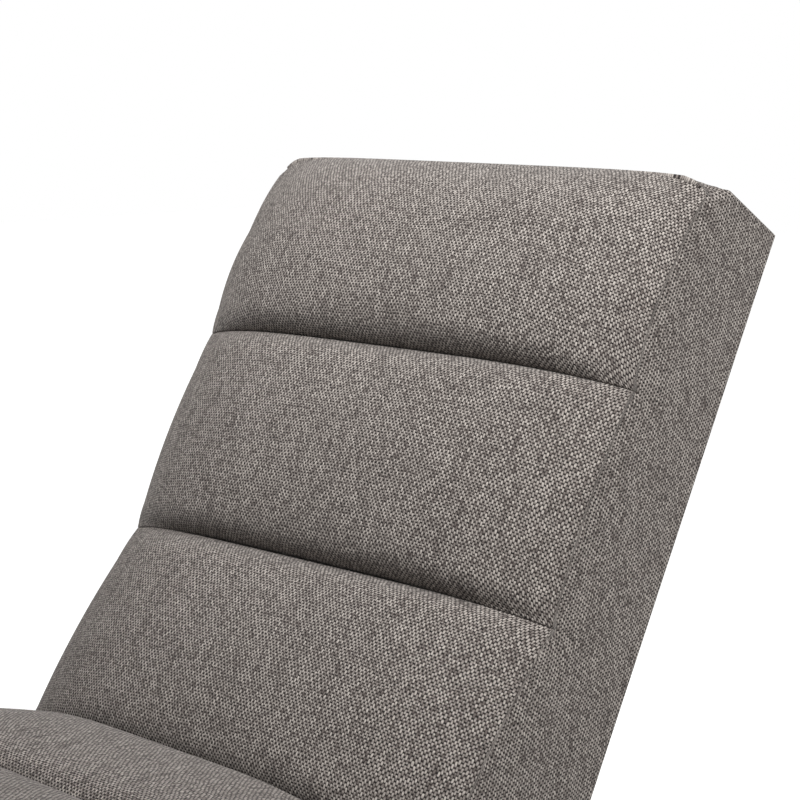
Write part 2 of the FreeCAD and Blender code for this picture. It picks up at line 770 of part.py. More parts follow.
def floor_bar(label, y):
    """Level tube between the uprights, with a hole for each foot's insert."""
    body = doc.addObject("PartDesign::Body", label)

    def front_view(inset):
        """Outline of the tube, or of its bore, cut by both mitres."""
        low = leg_half - inset
        high = leg_half - dim.tube_thickness + inset
        points = [
            Vector(-low, bar_low + inset, 0),
            Vector(low, bar_low + inset, 0),
            Vector(high, bar_high - inset, 0),
            Vector(-high, bar_high - inset, 0),
        ]
        return outline_geometry(points)

    tube = add_feature(
        body, "Pad", f"{label}_tube", add_sketch(body, f"{label}_outer", "XZ_Plane", front_view(0)),
        "Sizes.tube_width", symmetric=True,
    )
    round_tube_edges(body, tube, Vector(1, 0, 0))
    add_feature(
        body, "Pocket", f"{label}_bore",
        add_sketch(body, f"{label}_inner", "XZ_Plane", front_view(dim.tube_wall)),
        BORE_WIDTH, symmetric=True,
    )
    rings = [circle(Vector(x, 0, 0), dim.insert_radius + dim.fit_gap) for x in foot_xs.values()]
    foot_plane = "Sizes.foot_height + Sizes.insert_flange_thickness"
    sketch = add_sketch(body, f"{label}_foot_holes", "XY_Plane", rings, foot_plane)
    add_feature(body, "Pocket", f"{label}_drilling", sketch, "Sizes.tube_wall", reverse=True)
    body.Placement = Placement(Vector(0, y, 0), Rotation())
    return node(body, label)


# Levelling feet: a stud in a plastic pad, screwed up into the insert until the pad stops it
insert = revolved("stud_insert", [
    (dim.stud_radius + dim.running_gap, dim.foot_height),
    (dim.insert_flange_radius, dim.foot_height),
    (dim.insert_flange_radius, bar_low),
    (dim.insert_radius, bar_low),
    (dim.insert_radius, dim.foot_height + dim.insert_length),
    (dim.stud_radius + dim.running_gap, dim.foot_height + dim.insert_length),
])
doc.recompute()


def levelling_foot(place, x, y):
    """Pad and stud of one foot."""
    socket = dim.stud_radius + dim.running_gap
    pad = revolved(f"foot_pad_{place}", [
        (0, 0),
        (dim.foot_radius - dim.foot_bevel, 0),
        (dim.foot_radius, dim.foot_bevel),
        (dim.foot_radius, dim.foot_height - dim.foot_bevel),
        (dim.foot_radius - dim.foot_bevel, dim.foot_height),
        (socket, dim.foot_height),
        (socket, dim.foot_floor),
        (0, dim.foot_floor),
    ])
    stud = revolved(f"foot_stud_{place}", [
        (0, dim.foot_floor),
        (dim.stud_radius, dim.foot_floor),
        (dim.stud_radius, dim.foot_floor + dim.stud_length),
        (0, dim.foot_floor + dim.stud_length),
    ])
    for piece in (pad, stud):
        piece.Placement = Placement(Vector(x, y, 0), Rotation())
        node(piece, piece.Name)


insert_places = []
for leg, frame in leg_frames.items():
    leg_y = frame.multVec(Vector(0, 0, -dim.body_depth - dim.plate_thickness)).y
    for word, side in (("left", 1), ("right", -1)):
        leg_plate(f"{leg}_leg_plate_{word}", frame, side * leg_x)
        leg_upright(f"{leg}_leg_upright_{word}", frame, side)
        levelling_foot(f"{leg}_{word}", foot_xs[word], leg_y)
        insert_places.append(Placement(Vector(foot_xs[word], leg_y, 0), Rotation()))
    floor_bar(f"{leg}_leg_floor_bar", leg_y)
copies("stud_inserts", insert, insert_places)

doc.recompute()
for item in doc.Objects:
    if {"Invalid", "Error"} & set(item.State):
        raise RuntimeError(f"{item.Label} failed to compute")
for part in nodes:
    if part.Shape.isNull() or not part.Shape.isValid():
        raise RuntimeError(f"{part.Label} has no valid shape")

os.makedirs("parts", exist_ok=True)
whole = FreeCAD.BoundBox()
for part in nodes:
    part.Shape.exportStep(f"parts/{part.Label}.step")
    whole.add(part.Shape.BoundBox)
    print(f"{part.Label}: {len(part.Shape.Solids)} solids, {part.Shape.Volume / 1000:.1f} cm3")
print(f"{len(nodes)} nodes, {whole.XLength:.1f} x {whole.YLength:.1f} x {whole.ZLength:.1f} mm")
print(f"centre x {whole.Center.x:.3f}, y {whole.Center.y:.3f}, floor {whole.ZMin:.3f}")
print("feet at y", [round(place.Base.y, 2) for place in insert_places])
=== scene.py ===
# %% [markdown]
# # Chaise longue
#
# An S-shaped chaise longue, upholstered in a coarse grey weave and sewn into nine cross channels.
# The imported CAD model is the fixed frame: it holds the timber, the tube legs and the places of the
# soft parts. This lesson dresses it with simulated pads, sewn panels and woven cloth.

# %% Load the frame
import math

import bmesh
import bpy
import numpy as np
from mathutils import Matrix, Vector


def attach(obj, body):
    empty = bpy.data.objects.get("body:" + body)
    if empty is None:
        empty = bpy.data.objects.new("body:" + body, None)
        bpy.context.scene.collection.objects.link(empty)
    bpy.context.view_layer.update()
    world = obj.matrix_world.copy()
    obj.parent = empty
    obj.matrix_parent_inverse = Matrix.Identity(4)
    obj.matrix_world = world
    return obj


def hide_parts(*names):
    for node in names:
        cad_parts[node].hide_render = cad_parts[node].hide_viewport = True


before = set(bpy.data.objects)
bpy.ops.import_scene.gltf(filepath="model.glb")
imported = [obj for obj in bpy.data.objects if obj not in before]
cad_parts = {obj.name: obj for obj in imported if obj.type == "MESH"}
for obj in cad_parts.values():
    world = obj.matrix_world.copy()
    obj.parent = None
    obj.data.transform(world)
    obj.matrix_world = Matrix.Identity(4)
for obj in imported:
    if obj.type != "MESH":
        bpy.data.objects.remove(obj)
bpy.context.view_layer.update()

MM = 0.001
scene = bpy.context.scene
scene.view_settings.view_transform = "Standard"

# %% [markdown]
# ## Camera
#
# The photograph is a close view of the back from its left front corner. A long lens far off keeps the
# edges nearly parallel, so the place and the lens were fitted together to the creases and the seams.

# %% Camera
CAMERA_PLACE = (1340.4 * MM, -841.2 * MM, 921.3 * MM)
CAMERA_TURN = math.radians(44.19)
CAMERA_DIP = math.radians(9.106)
LENS = 93.3

camera = bpy.data.objects.new("camera", bpy.data.cameras.new("camera"))
scene.collection.objects.link(camera)
camera.location = CAMERA_PLACE
camera.rotation_euler = (math.pi / 2 - CAMERA_DIP, 0, CAMERA_TURN)
camera.data.lens = LENS
scene.camera = camera
print("camera at", [round(value, 3) for value in camera.location])

# %% [markdown]
# ## Nodes and colours
#
# Materials are built from shader nodes. One helper adds a node with its settings and links, and one
# function turns the sRGB hex value that a picture editor shows into the linear colour that Blender uses.


# %% Helpers for materials
def linear(hex_colour):
    """Linear RGBA of an sRGB hex colour."""
    channels = [int(hex_colour[k:k + 2], 16) / 255 for k in (0, 2, 4)]
    return [c / 12.92 if c <= 0.04045 else ((c + 0.055) / 1.055) ** 2.4 for c in channels] + [1]


def add(tree, kind, inputs=None, **settings):
    """Add a node, with its settings, and its inputs linked or set."""
    new = tree.nodes.new("ShaderNode" + kind)
    for name, value in settings.items():
        setattr(new, name, value)
    for socket, value in (inputs or {}).items():
        if isinstance(value, bpy.types.NodeSocket):
            tree.links.new(value, new.inputs[socket])
        else:
            new.inputs[socket].default_value = value
    return new


def new_material(name):
    """A material, its node tree and its Principled shader."""
    material = bpy.data.materials.new(name)
    material.use_nodes = True
    tree = material.node_tree
    return material, tree, tree.nodes["Principled BSDF"]


print("materials ready")

# %% [markdown]
# ## Studio
#
# The ground is white. The world is white to the camera and to mirror reflections. The floor is nearly
# so by its own glow, and the light that falls on it does the rest, so it still darkens where the chaise
# keeps that light off. A small soft lamp hangs above the seat, and a larger one beyond the sitter's left.

# %% Floor, world and lamps
FLOOR_HALF = 9.0
FLOOR_GLOW = 0.89
WORLD_STRENGTH = 0.2
HEAD_MIDDLE = (0, 0.62, 0.9)
LAMP_SPREAD = math.radians(80)
FLOOR_COLOUR = "c4c4c2"
FLOOR_ROUGHNESS = 0.9
WHITE = (1, 1, 1, 1)


def seen_directly(tree):
    """Socket that is 1 for camera, mirror and glass rays and 0 for diffuse light."""
    path = add(tree, "LightPath").outputs
    shown = add(tree, "Math", {0: path["Is Camera Ray"], 1: path["Is Glossy Ray"]}, operation="MAXIMUM")
    both = add(tree, "Math", {0: shown.outputs[0], 1: path["Is Transmission Ray"]}, operation="MAXIMUM")
    return both.outputs[0]


def lamp(name, place, target, size, power):
    """Soft square lamp aimed at a point."""
    light = bpy.data.lights.new(name, "AREA")
    light.size = size
    light.energy = power
    light.spread = LAMP_SPREAD
    holder = bpy.data.objects.new(name, light)
    scene.collection.objects.link(holder)
    holder.location = place
    holder.rotation_euler = (Vector(target) - Vector(place)).to_track_quat("-Z", "Y").to_euler()


shape = bmesh.new()
bmesh.ops.create_grid(shape, x_segments=1, y_segments=1, size=FLOOR_HALF)
floor_mesh = bpy.data.meshes.new("studio_floor")
shape.to_mesh(floor_mesh)
shape.free()
studio_floor = bpy.data.objects.new("studio_floor", floor_mesh)
scene.collection.objects.link(studio_floor)

floor_paint, tree, shader = new_material("matt_white_floor")
shader.inputs["Base Color"].default_value = linear(FLOOR_COLOUR)
shader.inputs["Roughness"].default_value = FLOOR_ROUGHNESS
shader.inputs["Emission Color"].default_value = WHITE
glow = add(tree, "Math", {0: seen_directly(tree), 1: FLOOR_GLOW}, operation="MULTIPLY")
tree.links.new(glow.outputs[0], shader.inputs["Emission Strength"])
floor_mesh.materials.append(floor_paint)

world = bpy.data.worlds.new("studio")
world.use_nodes = True
scene.world = world
tree = world.node_tree
level = add(tree, "Mix", {0: seen_directly(tree), 2: WORLD_STRENGTH, 3: 1.0}, data_type="FLOAT")
background = tree.nodes["Background"]
background.inputs["Color"].default_value = WHITE
tree.links.new(level.outputs[0], background.inputs["Strength"])

lamp("key_lamp", (-0.3, -0.3, 2.1), HEAD_MIDDLE, 0.9, 6.5)
lamp("fill_lamp", (2.4, 0.3, 1.9), HEAD_MIDDLE, 1.2, 13)

# %% [markdown]
# ## The S-shaped line
#
# Every soft part follows one line in the side view: the creases between the channels. Depth is measured
# down from that line, along the mitre that two neighbouring channels share. The sizes are those of the
# construction, in millimetres, from head to foot.

# %% Side view of the body
HALF_WIDTH = 275.0
BODY_DEPTH = 162.0
HIP_HEIGHT = 320.0
HEAD_TILT = 2.5
PITCHES = (205, 210, 212, 172, 172, 172, 172, 172, 172)
SLOPES = (-61.5, -61.5, -52.2, 7, 12, 8, -6, -15, -17)
HIP = 3
FOOT = len(PITCHES)
HIP_BEND = 60.0
PAD_DEPTH = 48.0
FOAM_DEPTH = 76.0
STRAP_DEPTH = 78.5
SIDE_COVER = 6.0
END_COVER = 6.0
COVER = 4.0


def heading(slope):
    """Unit vector (y, z) from head to foot along a channel of this slope in degrees."""
    return np.array((-math.cos(math.radians(slope)), math.sin(math.radians(slope))))


runs = [heading(slope) for slope in SLOPES]
facings = [np.array((run[1], -run[0])) for run in runs]
creases = [np.zeros(2)] * (FOOT + 1)
for i in reversed(range(HIP)):
    creases[i] = creases[i + 1] - runs[i] * PITCHES[i]
for i in range(HIP, FOOT):
    creases[i + 1] = creases[i] + runs[i] * PITCHES[i]
mitres = [heading(SLOPES[0] - 90 + HEAD_TILT) / math.cos(math.radians(HEAD_TILT))]
mitres += [-(a + b) / (1 + a @ b) for a, b in zip(facings, facings[1:])]
mitres += [np.array((0, -1 / math.cos(math.radians(SLOPES[-1]))))]
middle = ((creases[0] + mitres[0] * BODY_DEPTH)[0] + creases[FOOT][0]) / 2
creases = [crease + (-middle, HIP_HEIGHT) for crease in creases]


def profile_point(i, depth):
    """Side-view point at crease i, this far below the crease line."""
    return creases[i] + mitres[i] * depth


print("head crease at", creases[0].round(1), "foot crease at", creases[FOOT].round(1))

# %% [markdown]
# ## Woven cloth
#
# The cover is a coarse plain weave: thick slubby warp threads that run from head to foot, over a darker
# weft. What the eye sees is a staggered lattice of small dark holes between pale threads, threads that
# change tone along their length, and here and there a long light slub; the dark in the holes is painted
# shade. Each thread is a rounded wave, so the same height drives the colour and the bump. The spacing of
# 2.1 by 2.6 mm was matched to the photograph. Sizes are in millimetres, and scales in cells per thread.

# %% Woven cloth material
WARP_SPACING = 2.1
WEFT_SPACING = 2.6
WARP_TONES = ("665e5a", "bdb5ae")
WEFT_TONES = ("120f0e", "362f2d")
# Painted shade: the tone that the holes between the threads are darkened to, for the shade that falls into
# them.
PAINTED_GAP_SHADE = "0c0a09"
WEFT_LIFT = 0.5
WAVE_HEIGHT, MEAN_HEIGHT = 0.42, 0.58
SLUB_SCALE = (7.31, 0.07, 1)
FLECK_SCALE = (5.17, 0.7, 1)
FLECK_SHARE = 0.68
DARKEST, PALEST = 0.38, 0.62
WARP_SEED, WEFT_SEED = 0.0, 9.0
DRIFT_SIZE, DRIFT_REACH = 20, 5.0
OVERLAP_BLUR = 0.08
GAP_SHADE_HEIGHT = 0.3
WEAVE_RELIEF = 0.6


def thread(tree, across, along, column, wave, seed, tones):
    """Height and colour of one set of threads, which go over and under the other set."""
    section = add(tree, "Math", {0: across, 1: math.pi}, operation="MULTIPLY").outputs[0]
    section = add(tree, "Math", {0: section}, operation="SINE").outputs[0]
    section = add(tree, "Math", {0: section}, operation="ABSOLUTE").outputs[0]
    lift = add(tree, "Math", {0: wave, 1: WAVE_HEIGHT, 2: MEAN_HEIGHT}, operation="MULTIPLY_ADD").outputs[0]
    height = add(tree, "Math", {0: section, 1: lift}, operation="MULTIPLY").outputs[0]
    place = add(tree, "CombineXYZ", {0: column, 1: along, 2: seed}).outputs[0]
    slub = add(tree, "Mapping", {"Vector": place, "Scale": SLUB_SCALE}).outputs[0]
    slub = add(tree, "TexNoise", {"Vector": slub, "Scale": 1.0, "Detail": 2.0}).outputs["Fac"]
    fleck = add(tree, "Mapping", {"Vector": place, "Scale": FLECK_SCALE}).outputs[0]
    fleck = add(tree, "TexNoise", {"Vector": fleck, "Scale": 1.0, "Detail": 1.0}).outputs["Fac"]
    tone = add(tree, "Mix", {0: FLECK_SHARE, 2: slub, 3: fleck}, data_type="FLOAT").outputs[0]
    ramp = add(tree, "ValToRGB", {0: tone})
    stops = ramp.color_ramp.elements
    stops[0].position, stops[0].color = DARKEST, linear(tones[0])
    stops[1].position, stops[1].color = PALEST, linear(tones[1])
    return height, ramp.outputs[0]


def woven_cloth(name):
    """Coarse grey-taupe upholstery cloth, laid by the UV map in metres."""
    material, tree, shader = new_material(name)
    uv = add(tree, "UVMap", uv_map="cloth").outputs[0]
    drift = add(tree, "TexNoise", {"Vector": uv, "Scale": 1 / (DRIFT_SIZE * MM), "Detail": 2.5})
    drift = drift.outputs["Color"]
    drift = add(tree, "VectorMath", {0: drift, 1: (0.5, 0.5, 0.5)}, operation="SUBTRACT").outputs[0]
    drift = add(tree, "VectorMath", {0: drift, 3: DRIFT_REACH * MM}, operation="SCALE").outputs[0]
    laid = add(tree, "VectorMath", {0: uv, 1: drift}, operation="ADD").outputs[0]
    laid = add(tree, "Mapping", {
        "Vector": laid, "Scale": (1 / (WARP_SPACING * MM), 1 / (WEFT_SPACING * MM), 1)}).outputs[0]
    axes = add(tree, "SeparateXYZ", {0: laid}).outputs
    counts = [add(tree, "Math", {0: axes[k]}, operation="FLOOR").outputs[0] for k in (0, 1)]
    waves = []
    for k, sign in ((0, 1.0), (1, -1.0)):
        turn = add(tree, "Math", {0: axes[1 - k], 1: counts[k]}, operation="ADD").outputs[0]
        turn = add(tree, "Math", {0: turn, 1: math.pi}, operation="MULTIPLY").outputs[0]
        wave = add(tree, "Math", {0: turn}, operation="SINE").outputs[0]
        waves.append(add(tree, "Math", {0: wave, 1: sign}, operation="MULTIPLY").outputs[0])
    warp, warp_colour = thread(tree, axes[0], axes[1], counts[0], waves[0], WARP_SEED, WARP_TONES)
    weft, weft_colour = thread(tree, axes[1], axes[0], counts[1], waves[1], WEFT_SEED, WEFT_TONES)
    weft = add(tree, "Math", {0: weft, 1: WEFT_LIFT}, operation="MULTIPLY").outputs[0]
    lead = add(tree, "Math", {0: warp, 1: weft}, operation="SUBTRACT").outputs[0]
    on_top = add(tree, "MapRange", {0: lead, 1: -OVERLAP_BLUR, 2: OVERLAP_BLUR}).outputs[0]
    height = add(tree, "Math", {0: warp, 1: weft}, operation="MAXIMUM").outputs[0]
    yarn = add(tree, "Mix", {0: on_top, 6: weft_colour, 7: warp_colour}, data_type="RGBA").outputs[2]
    # Painted shade in the holes: where the threads sink below the gap height, the colour darkens to the gap
    # tone.
    shade = add(tree, "MapRange", {0: height, 1: 0.0, 2: GAP_SHADE_HEIGHT}).outputs[0]
    colour = add(tree, "Mix", {0: shade, 6: linear(PAINTED_GAP_SHADE), 7: yarn}, data_type="RGBA")
    tree.links.new(colour.outputs[2], shader.inputs["Base Color"])
    bump = add(tree, "Bump", {"Strength": 0.7, "Distance": WEAVE_RELIEF * MM, "Height": height})
    tree.links.new(bump.outputs[0], shader.inputs["Normal"])
    shader.inputs["Roughness"].default_value = 0.85
    shader.inputs["Specular IOR Level"].default_value = 0.2
    shader.inputs["Sheen Weight"].default_value = 0.1
    shader.inputs["Sheen Roughness"].default_value = 0.5
    return material


upholstery = woven_cloth("slub_weave_upholstery")
print("cloth:", len(upholstery.node_tree.nodes), "nodes")

# %% [markdown]
# ## Channel pads
#
# Each channel is a soft pad whose cloth is sewn down along two creases and two side seams. It has a broad
# crown that rolls down into the creases, tighter at its lower edge than at its upper one, and falls away
# to the side seams. The seat and leg channels are fuller than the plain solids of the construction. A grid
# is laid over that form, closed underneath and blown up a little by a cloth simulation that is pinned at
# the seams.

# %% The form of a channel
SEAM_DROPS = (45, 45, 45, 44, 6, 6, 6, 6, 6, 6)
END_DROP = 39.0
FALL_POWER = 3.9
CROWNS = (20, 20, 20, 27, 27, 27, 27, 27, 27)
SEAM_CROWNS = (6, 6, 6, 18, 18, 18, 18, 18, 18)
CREST = 4.0
UPPER_ROLL, LOWER_ROLL = 40.0, 27.0
SPECIAL_ROLLS = {0: 90.0, HIP: 38.0, FOOT: 78.0}
ROLL_SHARE = 0.3
GROOVE_DEPTH = 9.0
GROOVE_WIDTH = 7.0
SEAM_SETBACK = 3.0
SLACK = 3.0


def channel_surface(i, x, t, slack=0.0):
    """Points (y, z) on channel i at x, where t runs from 0 at its upper edge to 1 at its lower edge."""
    share = (np.abs(x) / HALF_WIDTH) ** FALL_POWER
    crown = CROWNS[i] - slack - (CROWNS[i] - SEAM_CROWNS[i]) * share
    ends = []
    for j, way in ((i, 1), (i + 1, -1)):
        sink = SEAM_DROPS[j] * share
        drop = END_DROP + (SEAM_DROPS[j] - END_DROP) * share if j in (0, FOOT) else sink
        roll = SPECIAL_ROLLS.get(j, UPPER_ROLL if way == 1 else LOWER_ROLL)
        edge = creases[j] + np.outer(drop, mitres[j])
        height = crown - sink - (edge - creases[j]) @ facings[i]
        shoulder = edge + runs[i] * (way * roll) + np.outer(height, facings[i])
        radius = (roll ** 2 + height ** 2) / (2 * height)
        turn = np.arctan2(roll, radius - height)
        ends.append((way, shoulder, radius, turn))
    points = np.zeros((len(x), 2))
    for (way, shoulder, radius, turn), start in zip(ends, (0, 1)):
        rolled = np.clip(1 - np.abs(t - start) / ROLL_SHARE, 0, 1)
        angle = turn * rolled
        out = np.outer(radius * (np.cos(angle) - 1), facings[i])
        back = np.outer(radius * np.sin(angle) * -way, runs[i])
        mask = rolled > 0
        points[mask] = (shoulder + out + back)[mask]
    crest = (t >= ROLL_SHARE) & (t <= 1 - ROLL_SHARE)
    u = ((t - ROLL_SHARE) / (1 - 2 * ROLL_SHARE))[:, None]
    chord = ends[0][1] * (1 - u) + ends[1][1] * u
    points[crest] = (chord + (4 * CREST * u * (1 - u)) * facings[i])[crest]
    for j in (i, i + 1):
        if j not in (0, FOOT):
            away = np.abs((points - creases[j]) @ runs[i])
            groove = GROOVE_DEPTH * (1 - share) * np.exp(-away / GROOVE_WIDTH)
            points -= np.outer(groove, facings[i])
    return points


def new_piece(name, shape):
    """Object at the origin from a bmesh in metres, which is freed."""
    mesh = bpy.data.meshes.new(name)
    shape.to_mesh(mesh)
    shape.free()
    piece = bpy.data.objects.new(name, mesh)
    scene.collection.objects.link(piece)
    return piece


def vertices_of(mesh):
    """Vertex positions of a mesh in millimetres."""
    flat = np.zeros(len(mesh.vertices) * 3)
    mesh.vertices.foreach_get("co", flat)
    return flat.reshape(-1, 3) / MM


def set_vertices(mesh, points):
    """Move the vertices of a mesh to these positions in millimetres."""
    mesh.vertices.foreach_set("co", (points * MM).ravel())
    mesh.update()


def cloth_grid(points, outward):
    """Sheet through rows of points in millimetres, as a bmesh that faces outwards."""
    rows, columns = points.shape[:2]
    shape = bmesh.new()
    bmesh.ops.create_grid(shape, x_segments=columns - 1, y_segments=rows - 1, size=1)
    for vert, point in zip(shape.verts, points.reshape(-1, 3)):
        vert.co = Vector(point) * MM
    shape.normal_update()
    shape.faces.ensure_lookup_table()
    if shape.faces[len(shape.faces) // 2].normal.dot(Vector(outward)) < 0:
        bmesh.ops.reverse_faces(shape, faces=shape.faces)
    return shape


GRID_ACROSS, GRID_ALONG = 111, 49


def channel_form(name, i):
    """Closed form of channel i, a little slack, ready to be blown up."""
    x, t = np.meshgrid(np.linspace(-1, 1, GRID_ACROSS) * (HALF_WIDTH - SEAM_SETBACK),
                       np.linspace(0, 1, GRID_ALONG))
    side_view = channel_surface(i, x.ravel(), t.ravel(), SLACK)
    points = np.column_stack((x.ravel(), side_view)).reshape(GRID_ALONG, GRID_ACROSS, 3)
    shape = cloth_grid(points, (0, *facings[i]))
    rim = [edge for edge in shape.edges if edge.is_boundary]
    walls = bmesh.ops.extrude_edge_only(shape, edges=rim)["geom"]
    base, facing = profile_point(i, PAD_DEPTH), facings[i]
    for vert in walls:
        if isinstance(vert, bmesh.types.BMVert):
            point = np.array(vert.co.yz) / MM
            vert.co.yz = Vector(point - facing * ((point - base) @ facing)) * MM
    bmesh.ops.contextual_create(shape, geom=[edge for edge in shape.edges if edge.is_boundary])
    bmesh.ops.recalc_face_normals(shape, faces=shape.faces)
    return new_piece(name, shape)


PADS = (
    "back_channel_top", "back_channel_middle", "back_channel_lower",
    "seat_channel_rear", "seat_channel_middle", "seat_channel_front",
    "leg_channel_upper", "leg_channel_middle", "leg_channel_foot",
)
pads = [channel_form(f"padded_{name}", i) for i, name in enumerate(PADS)]
print("channel forms:", len(pads), "with", len(pads[0].data.vertices), "vertices each")

# %% Blow up the pads
PRESSURE = 4.0
FRAMES = 20
SWELL_LIMIT = 12.0
CLOTH_QUALITY = 6
CLOTH_MASS = 0.4
STRETCH_STIFFNESS = 25
BENDING_STIFFNESS = 2
NEARLY_ZERO = 1e-9
TOP_POINTS = GRID_ACROSS * GRID_ALONG


def sewn_points(piece):
    """Numbers of the points that the seams and the base hold: the walls and the rim of the top."""
    top = np.zeros((GRID_ALONG, GRID_ACROSS), bool)
    top[[0, -1]] = True
    top[:, [0, -1]] = True
    walls = np.arange(TOP_POINTS, len(piece.data.vertices))
    return np.concatenate((np.flatnonzero(top), walls))


def blow_up(pieces):
    """Swell the pads under pressure, pinned where they are sewn and where they rest."""
    starts = []
    for piece in pieces:
        starts.append(vertices_of(piece.data))
        pins = piece.vertex_groups.new(name="sewn")
        pins.add(sewn_points(piece).tolist(), 1.0, "REPLACE")
        cloth = piece.modifiers.new("cloth", "CLOTH")
        cloth.settings.quality = CLOTH_QUALITY
        cloth.settings.mass = CLOTH_MASS
        cloth.settings.tension_stiffness = STRETCH_STIFFNESS
        cloth.settings.compression_stiffness = STRETCH_STIFFNESS
        cloth.settings.bending_stiffness = BENDING_STIFFNESS
        cloth.settings.use_pressure = True
        cloth.settings.uniform_pressure_force = PRESSURE
        cloth.settings.vertex_group_mass = pins.name
        cloth.settings.effector_weights.gravity = 0
        cloth.point_cache.frame_end = FRAMES
    for step in range(1, FRAMES + 1):
        scene.frame_set(step)
    depsgraph = bpy.context.evaluated_depsgraph_get()
    for piece, start in zip(pieces, starts):
        moved = vertices_of(piece.evaluated_get(depsgraph).data) - start
        length = np.linalg.norm(moved, axis=1)
        moved *= np.minimum(1, SWELL_LIMIT / np.maximum(length, NEARLY_ZERO))[:, None]
        piece.modifiers.remove(piece.modifiers["cloth"])
        set_vertices(piece.data, start + moved)
        print(f"{piece.name}: swelled {length.max():.1f} mm at most, {length.mean():.1f} mm on average")
    scene.frame_set(1)


blow_up(pads)

# %% [markdown]
# ## Sewing the pads down
#
# Swollen pads press on their neighbours at the creases, so each one is trimmed to the mitre planes with a
# hair of room. The front of the head and foot ends is soft: its corners are rounded in plan and pulled
# down a little, and the head end swells behind its seam. Then the cloth is laid: the UV map counts metres
# across the body and along the rolled surface, so that the threads stay evenly spaced where the pad turns
# down into a crease.

# %% Trim, round the corners and lay the cloth
CREASE_ROOM = 0.4
CORNER_RADIUS = 46.0
SEAM_CORNER = 28.0
SQUARE_DEPTH = 80.0
SQUARE_RADIUS = 2.0
CORNER_PULL = 16.0
CORNER_REACH = 38.0
END_PROUD, END_REACH, END_START = 5.0, 30.0, 10.0


def trim_to_mitres(points, i):
    """Keep a pad on its own side of the planes through its two creases."""
    for j, way in ((i, 1), (i + 1, -1)):
        along = mitres[j] / np.linalg.norm(mitres[j])
        normal = np.array((-along[1], along[0]))
        normal *= way * np.sign(normal @ runs[i])
        gap = (points[:, 1:] - creases[j]) @ normal - CREASE_ROOM
        points[:, 1:] -= np.outer(np.minimum(gap, 0), normal)


def round_end_corners(points, i):
    """Round and pull down the corners of the soft front at the head or the foot, and swell the head end."""
    for j, way in ((0, 1), (FOOT, -1)):
        if i != (j if way == 1 else j - 1):
            continue
        along = mitres[j] / np.linalg.norm(mitres[j])
        normal = np.array((-along[1], along[0]))
        normal *= way * np.sign(normal @ runs[i])
        inside = (points[:, 1:] - creases[j]) @ normal
        depth = (points[:, 1:] - creases[j]) @ along
        radius = np.interp(depth, (0, PAD_DEPTH, SQUARE_DEPTH), (CORNER_RADIUS, SEAM_CORNER, SQUARE_RADIUS))
        a = radius - (HALF_WIDTH - np.abs(points[:, 0]))
        b = radius - inside
        reach = np.hypot(a, b)
        cut = (a > 0) & (b > 0) & (reach > radius)
        scale = np.where(cut, radius / np.maximum(reach, NEARLY_ZERO), 1) - 1
        points[:, 0] += np.sign(points[:, 0]) * np.where(cut, a * scale, 0)
        points[:, 1:] -= np.outer(np.where(cut, b * scale, 0), normal)
        swell = np.interp(depth, (PAD_DEPTH - END_START, SQUARE_DEPTH), (0, END_PROUD))
        swell *= np.exp(-np.maximum(inside, 0) / END_REACH) * (j == 0)
        points[:, 1:] -= np.outer(swell, normal)
        from_corner = np.hypot(HALF_WIDTH - np.abs(points[:, 0]), inside)
        soft = np.clip((SQUARE_DEPTH - depth) / (SQUARE_DEPTH - PAD_DEPTH), 0, 1)
        points[:, 1:] -= np.outer(CORNER_PULL * soft * np.exp(-from_corner / CORNER_REACH), facings[i])


def cloth_lengths(points):
    """Cloth lengths in a grid of points: across from the middle column, along from the first row."""
    across = np.linalg.norm(np.diff(points, axis=1), axis=2).cumsum(axis=1)
    across = np.pad(across, ((0, 0), (1, 0)))
    across -= across[:, [points.shape[1] // 2]]
    along = np.linalg.norm(np.diff(points, axis=0), axis=2).cumsum(axis=0)
    along = np.pad(along, ((1, 0), (0, 0)))
    return np.dstack((across, along)).reshape(-1, 2)


def lay_cloth(piece, places):
    """UV map in metres from one (across, along) pair in millimetres for each vertex."""
    mesh = piece.data
    corners = np.zeros(len(mesh.loops), int)
    mesh.loops.foreach_get("vertex_index", corners)
    layer = mesh.uv_layers.new(name="cloth")
    layer.uv.foreach_set("vector", (places[corners] * MM).astype(np.float32).ravel())


def finish_piece(piece, material, node_names):
    """Smooth shading, the material, the chaise body as its parent, and the CAD parts it stands in for
    hidden.
    """
    piece.data.materials.append(material)
    piece.data.shade_smooth()
    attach(piece, "chaise")
    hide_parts(*node_names)


for i, (piece, node_name) in enumerate(zip(pads, PADS)):
    points = vertices_of(piece.data)
    trim_to_mitres(points, i)
    round_end_corners(points, i)
    set_vertices(piece.data, points)
    top = points[:TOP_POINTS].reshape(GRID_ALONG, GRID_ACROSS, 3)
    places = np.zeros((len(points), 2))
    places[:TOP_POINTS] = cloth_lengths(top) + (0, sum(PITCHES[:i]))
    places[TOP_POINTS:] = points[TOP_POINTS:, :2]
    lay_cloth(piece, places)
    finish_piece(piece, upholstery, [node_name])
print("pads sewn:", len(pads))

# %% [markdown]
# ## Side panels
#
# The side of the body is one S-shaped panel of wadded cloth, sewn to the pads along a seam that bows over
# each channel and dips into each crease. The crease runs on over the seam as a short tuck that fades out.
# The panel is a grid from the seam to the underside, with its rows and columns closest together at the
# edges and the creases, so that edges and tucks stay crisp.

# %% Side panels
PANEL_ROWS = 40
PANEL_COLUMNS = 30
PANEL_FULLNESS, FULLNESS_REACH = 1.5, 40
SEAM_POINTS = 99
SEAM_LEAN, SEAM_REACH = 4.0, 12.0
EDGE_ROUND = 3.0
PROUD = 4.0
TUCK_START, TUCK_LENGTH = 4, 46.0
TUCK_WIDTH = 3.5
TUCK_DEPTH = 2.6
GRAIN_LEAN = math.radians(7)
BEND_STEPS = 24


